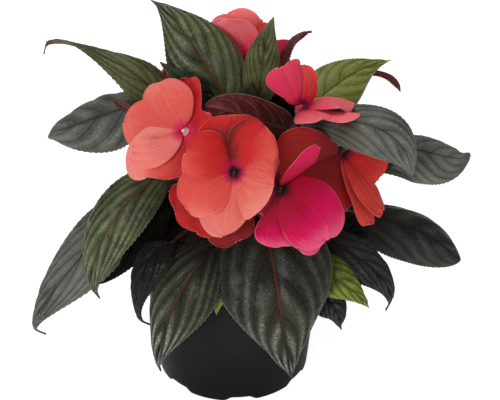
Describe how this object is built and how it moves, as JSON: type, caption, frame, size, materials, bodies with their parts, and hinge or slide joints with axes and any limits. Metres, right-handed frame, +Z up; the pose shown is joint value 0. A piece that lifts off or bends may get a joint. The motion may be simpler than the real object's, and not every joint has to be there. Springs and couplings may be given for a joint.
{
  "type": "potted impatiens",
  "caption": "New Guinea impatiens in a round grower's pot: a bushy plant of dark glossy serrate leaves and flat coral, red and magenta blooms, standing free.",
  "frame": {"origin": "centre of the pot's base, on the surface it stands on", "axes": "+Z up; the front of the plant, which the picture shows, faces -Y; +X is the plant's right in the picture"},
  "size_m": [0.2699, 0.2131, 0.238],
  "materials": {
    "pot": "satin black moulded plastic",
    "soil": "moist dark potting compost",
    "foliage": "glossy dark green leaf with sunken veins",
    "petal_coral": "soft coral petal",
    "petal_red": "soft orange-red petal",
    "petal_magenta": "soft magenta-pink petal"
  },
  "bodies": {
    "root": {"pot": "pot", "soil": "soil", "stem_centre": "foliage", "stem_left": "foliage", "stem_left_low": "foliage", "stem_front": "foliage", "stem_right": "foliage", "stem_right_low": "foliage", "stem_back_left": "foliage", "stem_back_right": "foliage", "bloom_front": "petal_coral", "bloom_left": "petal_coral", "bloom_front_low": "petal_red", "bloom_right_front": "petal_magenta", "bloom_right": "petal_red", "bloom_right_high": "petal_magenta", "bloom_top": "petal_magenta", "bloom_back_left": "petal_coral", "bloom_back_right": "petal_coral"}
  },
  "joints": []
}
